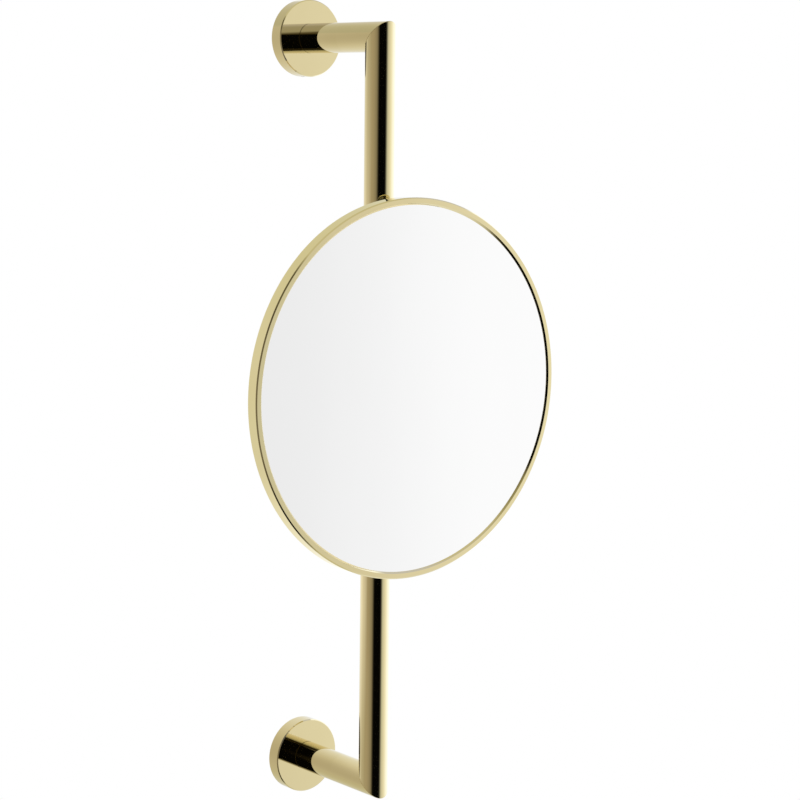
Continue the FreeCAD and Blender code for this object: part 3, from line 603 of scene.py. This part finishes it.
nutLow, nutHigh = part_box("hinge_nut")
nutCorner = nutHigh.z - pinSpot.z
nut = turnedPiece("hingeNut", sideAxis, pinCentre,
                  [(hingeNut["bore"], nutLow.x), (nutCorner - hingeNut["corner"], nutLow.x),
                   (nutCorner, nutLow.x + hingeNut["fall"]), (nutCorner, nutHigh.x - hingeNut["fall"]),
                   (nutCorner - hingeNut["corner"], nutHigh.x), (hingeNut["bore"], nutHigh.x)],
                  steps=hexSides)
finish(nut, "head", "fastener_steel", "hinge_nut")
print("hinge made")


# Mirror head: rim, glass, back pan and the foam behind the glass

rim = {"wall": 1.2 * mm, "lip": 1 * mm, "lipBore": 96.2 * mm, "frontChamfer": 0.6 * mm,
       "backChamfer": 0.4 * mm, "lipChamfer": 0.9 * mm, "lipCrown": 0.03 * mm, "steps": 288}
glass = {"seam": 0.25 * mm, "steps": 288}
pan = {"wall": 0.8 * mm, "floor": 1.2 * mm, "edgeRound": 0.3 * mm, "steps": 288}
foam = {"bore": 32 * mm, "edgeRound": 0.6 * mm, "fill": 0.9}

rimLow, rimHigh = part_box("mirror_rim")
glassLow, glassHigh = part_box("mirror_glass")
panLow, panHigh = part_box("back_pan")
foamLow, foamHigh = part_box("foam_pad")

outer, front, back = rimHigh.x, rimLow.y, rimHigh.y
wallBore = outer - rim["wall"]
lipBack = front + rim["lip"]
lipBore, lipChamfer = rim["lipBore"], rim["lipChamfer"]
lipInset = lipChamfer / 2 - rim["lipCrown"] / math.sqrt(2)      # middle of the lip's slightly crowned edge
piece = turnedPiece("mirrorRim", wallAxis, headCentre,
                    [(wallBore, back), (outer - rim["backChamfer"], back), (outer, back - rim["backChamfer"]),
                     (outer, front + rim["frontChamfer"]), (outer - rim["frontChamfer"], front),
                     (lipBore + lipChamfer, front), (lipBore + lipInset, front + lipInset),
                     (lipBore, front + lipChamfer), (lipBore, lipBack), (wallBore, lipBack)],
                    steps=rim["steps"])
finish(piece, "head", "polished_brass", "mirror_rim")

edge, seam = glassHigh.x, glass["seam"]
piece = turnedPiece("mirrorGlass", wallAxis, headCentre,
                    [(0, glassHigh.y), (edge - seam, glassHigh.y), (edge, glassHigh.y - seam),
                     (edge, glassLow.y + seam), (edge - seam, glassLow.y), (0, glassLow.y)],
                    steps=glass["steps"], closed=False)
finish(piece, "head", "silvered_glass", "mirror_glass")

panBore = panHigh.x - pan["wall"]
panInside = panHigh.y - pan["floor"]
piece = turnedPiece("backPan", wallAxis, headCentre,
                    [(0, panHigh.y), (panHigh.x, panHigh.y, pan["edgeRound"]), (panHigh.x, panLow.y),
                     (panBore, panLow.y), (panBore, panInside), (0, panInside)],
                    steps=pan["steps"], closed=False)
holes = roundCutter(wallAxis, screwCentre, bracket["screwHole"], panInside - overcut, panHigh.y + overcut)
repeatRound(holes, wallAxis, headCentre, bracket["screws"])
combine(piece, holes, "DIFFERENCE")
finish(piece, "head", "polished_brass", "back_pan")

bore, ease = foam["bore"], foam["edgeRound"]
piece = turnedPiece("foamPad", wallAxis, headCentre,
                    [(bore, foamHigh.y, ease), (foamHigh.x, foamHigh.y, ease), (foamHigh.x, foamLow.y, ease),
                     (bore, foamLow.y, ease)])
finish(piece, "head", "foam", "foam_pad")
print("mirror head made")


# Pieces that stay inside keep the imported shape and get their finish

insidePieces = {
    "upper_arm_plug": "turned_brass", "lower_arm_plug": "turned_brass", "upper_corner_key": "turned_brass",
    "lower_corner_key": "turned_brass", "friction_pad": "acetal", "friction_washers": "acetal",
    "disc_springs": "spring_steel", "stiffener_plate": "zinc_steel",
}
for node, slotName in insidePieces.items():
    frame["nodes"][node].material_slots[0].material = finishes[slotName]
print("inside pieces finished:", len(insidePieces))


# Studio: white all round for the camera, and a light tent that only polished metal shows

studio = {
    "room": 0.85,
    # light seen in metal above and below the tent
    "metal": (0.70, 0.70, 0.58),
    # light left for a ray that has met more metal than this; the world counts itself as one more
    "tentBounces": 2.5, "worldBounces": 3.5, "deep": 0.03,
    # light seen in the glass, from its dim to its bright side
    "glass": (0.89, 1.03), "glassStart": 35.5, "glassFull": 42.3,
}
tent = {
    "radius": 0.65, "top": 1.1, "bottom": -3.2, "steps": 96,
    # light at each bearing, in degrees from straight in front to the right
    "middle": ((-180, (0.81, 0.81, 0.79)), (-157, (0.71, 0.69, 0.62)), (-141, (0.58, 0.55, 0.48)),
               (-122, (0.53, 0.50, 0.42)), (-113, (0.48, 0.44, 0.36)), (-95, (0.47, 0.42, 0.34)),
               (-79, (0.41, 0.37, 0.30)), (-62, (0.30, 0.27, 0.22)), (-48, (0.035, 0.032, 0.026)),
               (-43, (0.002, 0.002, 0.002)), (5, (0.002, 0.002, 0.002)), (9, (0.05, 0.05, 0.05)),
               (14, (0.17, 0.18, 0.18)), (20, (0.52, 0.55, 0.56)), (27, (0.74, 0.77, 0.78)),
               (36, (0.87, 0.88, 0.90)), (56, (1.10, 1.15, 1.22)), (68, (1.22, 1.31, 1.60)),
               (80, (1.30, 1.43, 1.84)), (105, (1.30, 1.43, 1.84)), (147, (0.92, 0.95, 1.0)),
               (180, (0.81, 0.81, 0.79))),
    "high": ((-180, (0.63, 0.63, 0.55)), (-149, (0.57, 0.57, 0.50)), (-100, (0.50, 0.50, 0.46)),
             (-60, (0.15, 0.14, 0.10)), (-38, (0.14, 0.13, 0.09)), (-26, (0.33, 0.32, 0.20)),
             (-8, (0.55, 0.54, 0.43)), (25, (0.64, 0.69, 1.0)), (110, (0.75, 0.80, 1.0)),
             (150, (0.73, 0.73, 0.70)), (180, (0.63, 0.63, 0.55))),
    # the high band as a second reflection shows it
    "highAgain": ((-180, (0.63, 0.63, 0.55)), (-100, (0.50, 0.50, 0.46)), (-60, (0.15, 0.14, 0.10)),
                  (-34, (0.10, 0.09, 0.07)), (-26, (0.50, 0.55, 0.74)), (8, (0.50, 0.55, 0.74)),
                  (25, (0.64, 0.69, 1.0)), (110, (0.75, 0.80, 1.0)), (180, (0.63, 0.63, 0.55))),
    "low": ((-180, (0.69, 0.69, 0.58)), (-148, (0.62, 0.60, 0.50)), (-110, (0.50, 0.46, 0.37)),
            (-75, (0.33, 0.30, 0.24)), (-62, (0.22, 0.20, 0.16)), (-50, (0.02, 0.02, 0.016)),
            (-45, (0.002, 0.002, 0.002)), (8, (0.002, 0.002, 0.002)), (16, (0.20, 0.20, 0.20)),
            (27, (0.60, 0.62, 0.63)), (45, (0.85, 0.88, 0.92)), (90, (1.0, 1.06, 1.2)),
            (160, (0.71, 0.71, 0.64)), (180, (0.69, 0.69, 0.58))),
    # light that the lip and the flanges show from the front, its share by bearing, and how long their rays
    # are where they meet the tent, which tells them from the rail's
    "front": (0.60, 0.58, 0.50), "lipWay": (0.615, 0.64), "flangeWay": (0.685, 0.705),
    "frontShare": ((-180, (0, 0, 0)), (-31, (0, 0, 0)), (-19, (1, 1, 1)), (0, (1, 1, 1)), (6, (0, 0, 0)),
                   (180, (0, 0, 0))),
    "highStart": 0.40, "highFull": 0.46, "lowStart": -0.40, "lowFull": -0.60,
    "topStart": 0.75, "topFull": 1.05, "bottomStart": -1.4, "bottomFull": -3.2,
}


def lightBand(tree, turn, stops):
    ramp = tree.nodes.new("ShaderNodeValToRGB")
    band = ramp.color_ramp
    for count, (bearing, colour) in enumerate(stops):
        place = bearing / 360 + 0.5
        stop = band.elements[count] if count < 2 else band.elements.new(place)
        stop.position = place
        stop.color = (*colour, 1)
    tree.links.new(turn, ramp.inputs["Fac"])
    return ramp.outputs["Color"]


def blendColours(tree, factor, first, second):
    blend = tree.nodes.new("ShaderNodeMix")
    blend.data_type = "RGBA"
    sockets = [socket for socket in blend.inputs if socket.type == "RGBA"]
    tree.links.new(factor, blend.inputs["Factor"])
    for socket, colour in zip(sockets, (first, second)):
        if isinstance(colour, float):
            socket.default_value = (colour, colour, colour, 1)
        elif isinstance(colour, tuple):
            socket.default_value = (*colour, 1)
        else:
            tree.links.new(colour, socket)
    return next(socket for socket in blend.outputs if socket.type == "RGBA")


def mathNode(tree, operation, *values):
    step = tree.nodes.new("ShaderNodeMath")
    step.operation = operation
    for socket, value in zip(step.inputs, values):
        if isinstance(value, (int, float)):
            socket.default_value = value
        else:
            tree.links.new(value, socket)
    return step.outputs["Value"]


def product(tree, share, *others):
    for other in others:
        share = mathNode(tree, "MULTIPLY", share, other)
    return share


def mixShaders(tree, factor, first, second):
    mixed = tree.nodes.new("ShaderNodeMixShader")
    for socket, value in zip(mixed.inputs, (factor, first, second)):
        tree.links.new(value, socket)
    return mixed.outputs["Shader"]


def bearingNode(tree, split):
    # angle from straight in front, towards the right
    forward = mathNode(tree, "MULTIPLY", split.outputs["Y"], -1)
    return mathNode(tree, "ARCTAN2", split.outputs["X"], forward)


# Ray Depth is 1 in a first reflection and 2 in a second
def firstReflection(tree, rays):
    return levelRange(tree, rays.outputs["Ray Depth"], 1, 0, 1, 2)


def secondReflection(tree, rays):
    return levelRange(tree, rays.outputs["Ray Depth"], 0, 1, 1, 2)


def dimDeepRays(tree, rays, light, bounces):
    deep = mathNode(tree, "GREATER_THAN", rays.outputs["Ray Depth"], bounces)
    return blendColours(tree, deep, light, studio["deep"])


def buildWorld():
    world = bpy.data.worlds.new("studio")
    world.use_nodes = True
    scene.world = world
    tree = world.node_tree
    backdrop = next(node for node in tree.nodes if node.type == "BACKGROUND")
    coords = tree.nodes.new("ShaderNodeTexCoord")
    split = tree.nodes.new("ShaderNodeSeparateXYZ")
    tree.links.new(coords.outputs["Generated"], split.inputs["Vector"])
    across = levelRange(tree, bearingNode(tree, split), *studio["glass"], math.radians(studio["glassStart"]),
                        math.radians(studio["glassFull"]))
    across.node.interpolation_type = "SMOOTHSTEP"
    rays = tree.nodes.new("ShaderNodeLightPath")
    shiny = blendColours(tree, rays.outputs["Is Singular Ray"], studio["metal"], across)
    shiny = dimDeepRays(tree, rays, shiny, studio["worldBounces"])
    light = blendColours(tree, rays.outputs["Is Glossy Ray"], studio["room"], shiny)
    light = blendColours(tree, rays.outputs["Is Camera Ray"], light, 1.0)
    light = blendColours(tree, rays.outputs["Is Transmission Ray"], light, 1.0)
    tree.links.new(light, backdrop.inputs["Color"])
    backdrop.inputs["Strength"].default_value = 1.0


def reflectedOnly(stagePiece, name):
    # a stage piece that gives light to reflections alone
    stagePiece.name = name
    stagePiece.visible_camera = False
    stagePiece.visible_diffuse = False
    stagePiece.visible_transmission = False
    stagePiece.visible_shadow = False
    material = bpy.data.materials.new(name)
    material.use_nodes = True
    material.cycles.emission_sampling = "NONE"
    stagePiece.data.materials.append(material)
    tree = material.node_tree
    tree.nodes.clear()
    coords = tree.nodes.new("ShaderNodeTexCoord")
    split = tree.nodes.new("ShaderNodeSeparateXYZ")
    tree.links.new(coords.outputs["Object"], split.inputs["Vector"])
    return tree, split


def glowOutput(tree, light, bounces, reach=None):
    # clear to the glass, which shows the world behind
    rays = tree.nodes.new("ShaderNodeLightPath")
    glow = tree.nodes.new("ShaderNodeEmission")
    tree.links.new(dimDeepRays(tree, rays, light, bounces), glow.inputs["Color"])
    clear = tree.nodes.new("ShaderNodeBsdfTransparent").outputs["BSDF"]
    seen = mixShaders(tree, rays.outputs["Is Singular Ray"], glow.outputs["Emission"], clear)
    if reach is not None:
        # seen from its front side and from nearby only
        side = tree.nodes.new("ShaderNodeNewGeometry")
        far = levelRange(tree, rays.outputs["Ray Length"], 0, 1, *reach)
        seen = mixShaders(tree, mathNode(tree, "MAXIMUM", side.outputs["Backfacing"], far), seen, clear)
    surface = tree.nodes.new("ShaderNodeOutputMaterial")
    tree.links.new(seen, surface.inputs["Surface"])


def buildTent():
    clearSelection()
    bpy.ops.mesh.primitive_cylinder_add(vertices=tent["steps"], radius=tent["radius"], depth=2 * tent["top"],
                                        end_fill_type="NOTHING", location=railCentre)
    wall = bpy.context.object
    editPiece(wall)
    pickPoints(wall, lambda spot: spot.z < 0)
    bpy.ops.transform.translate(value=upAxis * (tent["bottom"] + tent["top"]))
    bpy.ops.object.mode_set(mode="OBJECT")
    tree, split = reflectedOnly(wall, "lightTent")
    turn = levelRange(tree, bearingNode(tree, split), 0, 1, -math.pi, math.pi)
    up = levelRange(tree, split.outputs["Z"], 0, 1, tent["highStart"], tent["highFull"])
    down = levelRange(tree, split.outputs["Z"], 0, 1, tent["lowStart"], tent["lowFull"])
    rays = tree.nodes.new("ShaderNodeLightPath")
    names = ("middle", "high", "highAgain", "low", "frontShare")
    bands = {name: lightBand(tree, turn, tent[name]) for name in names}
    fromLip = levelRange(tree, rays.outputs["Ray Length"], 1, 0, *tent["lipWay"])
    fromFlange = levelRange(tree, rays.outputs["Ray Length"], 0, 1, *tent["flangeWay"])
    notRail = mathNode(tree, "MAXIMUM", fromLip, fromFlange)
    front = product(tree, firstReflection(tree, rays), notRail, bands["frontShare"])
    middle = blendColours(tree, front, bands["middle"], tent["front"])
    high = blendColours(tree, secondReflection(tree, rays), bands["high"], bands["highAgain"])
    light = blendColours(tree, up, middle, high)
    light = blendColours(tree, down, light, bands["low"])
    for end in ("top", "bottom"):
        share = levelRange(tree, split.outputs["Z"], 0, 1, tent[end + "Start"], tent[end + "Full"])
        light = blendColours(tree, share, light, studio["metal"])
    glowOutput(tree, light, studio["tentBounces"])


# Bright card behind the rim's left half, which the rim's side wall shows
rimCard = {"inner": 100.3 * mm, "outer": 113 * mm, "place": -84 * mm, "sideEnd": -9 * mm, "topEnd": 122 * mm,
           "steps": 96, "bounces": 1.5, "reach": (16.65 * mm, 18.5 * mm),
           "middle": (0.86, 0.88, 0.84), "low": (1.12, 1.15, 1.15), "lowStart": -0.02, "lowFull": -0.08,
           "high": (0.78, 0.79, 0.65), "highStart": 0.05, "highFull": 0.118}


def buildRimCard():
    card = turnedPiece("rimCard", wallAxis, headCentre,
                       [(rimCard["inner"], rimCard["place"]), (rimCard["outer"], rimCard["place"])],
                       steps=rimCard["steps"], closed=False)
    for spot, away in ((sideAxis * rimCard["sideEnd"], sideAxis), (upAxis * rimCard["topEnd"], upAxis)):
        editPiece(card)
        bpy.ops.mesh.select_all(action="SELECT")
        bpy.ops.mesh.bisect(plane_co=spot, plane_no=away, clear_outer=True, clear_inner=False, use_fill=False)
        bpy.ops.object.mode_set(mode="OBJECT")
    tree, split = reflectedOnly(card, "rimCard")
    down = levelRange(tree, split.outputs["Z"], 0, 1, rimCard["lowStart"], rimCard["lowFull"])
    up = levelRange(tree, split.outputs["Z"], 0, 1, rimCard["highStart"], rimCard["highFull"])
    light = blendColours(tree, down, rimCard["middle"], rimCard["low"])
    glowOutput(tree, blendColours(tree, up, light, rimCard["high"]), rimCard["bounces"], rimCard["reach"])


# Faint cool glow just behind the rail, strongest at the head's height. A second reflection shows no glow,
# and one dark strip at the height of the rim's top.
railCard = {"place": -40 * mm, "left": -180 * mm, "right": 20 * mm, "bottom": -200 * mm, "top": 205 * mm,
            "glow": (0.30, 0.315, 0.41), "rightFull": -12 * mm, "leftFull": -20 * mm, "bottomFull": -110 * mm,
            "topFull": 40 * mm, "dark": (0.08, 0.09, 0.10), "darkHeight": 107 * mm, "darkReach": 11.5 * mm}


def buildRailCard():
    clearSelection()
    bpy.ops.mesh.primitive_plane_add(size=1, rotation=(math.pi / 2, 0, 0))
    card = bpy.context.object
    card.scale = (railCard["right"] - railCard["left"], railCard["top"] - railCard["bottom"], 1)
    card.location = ((railCard["right"] + railCard["left"]) / 2, railCard["place"],
                     (railCard["top"] + railCard["bottom"]) / 2)
    bpy.ops.object.transform_apply(location=True, rotation=True, scale=True)
    tree, split = reflectedOnly(card, "railCard")
    rays = tree.nodes.new("ShaderNodeLightPath")
    edges = (("X", "left"), ("X", "right"), ("Z", "bottom"), ("Z", "top"))
    fades = [levelRange(tree, split.outputs[way], 0, 1, railCard[edge], railCard[edge + "Full"])
             for way, edge in edges]
    glow = tree.nodes.new("ShaderNodeEmission")
    glow.inputs["Color"].default_value = (*railCard["glow"], 1)
    tree.links.new(product(tree, firstReflection(tree, rays), *fades), glow.inputs["Strength"])
    clear = tree.nodes.new("ShaderNodeBsdfTransparent").outputs["BSDF"]
    added = tree.nodes.new("ShaderNodeAddShader")
    tree.links.new(clear, added.inputs[0])
    tree.links.new(glow.outputs["Emission"], added.inputs[1])
    dark = tree.nodes.new("ShaderNodeEmission")
    dark.inputs["Color"].default_value = (*railCard["dark"], 1)
    strip = mathNode(tree, "COMPARE", split.outputs["Z"], railCard["darkHeight"], railCard["darkReach"])
    shade = product(tree, secondReflection(tree, rays), strip)
    seen = mixShaders(tree, shade, added.outputs["Shader"], dark.outputs["Emission"])
    seen = mixShaders(tree, rays.outputs["Is Singular Ray"], seen, clear)
    surface = tree.nodes.new("ShaderNodeOutputMaterial")
    tree.links.new(seen, surface.inputs["Surface"])


buildWorld()
buildTent()
buildRimCard()
buildRailCard()

# Round pale floor that fades out towards its edge
floorLook = {"radius": 1.2, "drop": 0.75, "steps": 96, "tones": ((0.90, 0.90, 0.90), (0.93, 0.93, 0.93)),
             "shine": (0.75, 0.9), "patches": 6, "patchDetail": 3, "fade": (0.45, 1.15)}
clearSelection()
bpy.ops.mesh.primitive_circle_add(vertices=floorLook["steps"], radius=floorLook["radius"], fill_type="NGON",
                                  location=railCentre - upAxis * floorLook["drop"])
floor = bpy.context.object
floor.name = "floor"
material, tree, shader, coords = newFinish("paleFloor")
cloud = noiseNode(tree, coords, (1, 1, 1), floorLook["patches"], floorLook["patchDetail"])
tree.links.new(toneRamp(tree, cloud, *floorLook["tones"]), shader.inputs["Base Color"])
tree.links.new(levelRange(tree, cloud, *floorLook["shine"]), shader.inputs["Roughness"])
spread = tree.nodes.new("ShaderNodeVectorMath")
spread.operation = "LENGTH"
tree.links.new(coords.outputs["Object"], spread.inputs[0])
tree.links.new(levelRange(tree, spread.outputs["Value"], 1, 0, *floorLook["fade"]), shader.inputs["Alpha"])
floor.data.materials.append(material)
floor.visible_glossy = False

lamp = {"place": (0.9, -1.4, 1.6), "size": 1.6, "watts": 6.0}
bpy.ops.object.light_add(type="AREA", location=lamp["place"])
softLamp = bpy.context.object
softLamp.name = "softLamp"
softLamp.data.size = lamp["size"]
softLamp.data.energy = lamp["watts"]
softLamp.rotation_euler = (Vector(lamp["place"]) - railCentre).to_track_quat("Z", "Y").to_euler()
softLamp.visible_glossy = False
print("studio made")


# Camera at the photograph's viewing angle

view = {"lens": 100.487, "sensor": 36.0, "yaw": -39.4553, "pitch": 7.6831, "roll": 0.6488,
        "distance": 1189.255 * mm, "right": 12.412 * mm, "up": 9.090 * mm}
yaw, pitch, roll = (math.radians(view[name]) for name in ("yaw", "pitch", "roll"))
backward = Vector((math.sin(yaw) * math.cos(pitch), -math.cos(yaw) * math.cos(pitch), math.sin(pitch)))
level = Vector((math.cos(yaw), math.sin(yaw), 0))
rise = backward.cross(level)
rightward = level * math.cos(roll) + rise * math.sin(roll)
upward = rise * math.cos(roll) - level * math.sin(roll)
eye = railCentre + backward * view["distance"] + rightward * view["right"] + upward * view["up"]
bpy.ops.object.camera_add()
camera = bpy.context.object
camera.name = "photoCamera"
camera.data.lens = view["lens"]
camera.data.sensor_width = view["sensor"]
camera.matrix_world = Matrix.Translation(eye) @ Matrix((rightward, upward, backward)).transposed().to_4x4()
scene.camera = camera
scene.view_settings.view_transform = "Standard"
print("camera set")
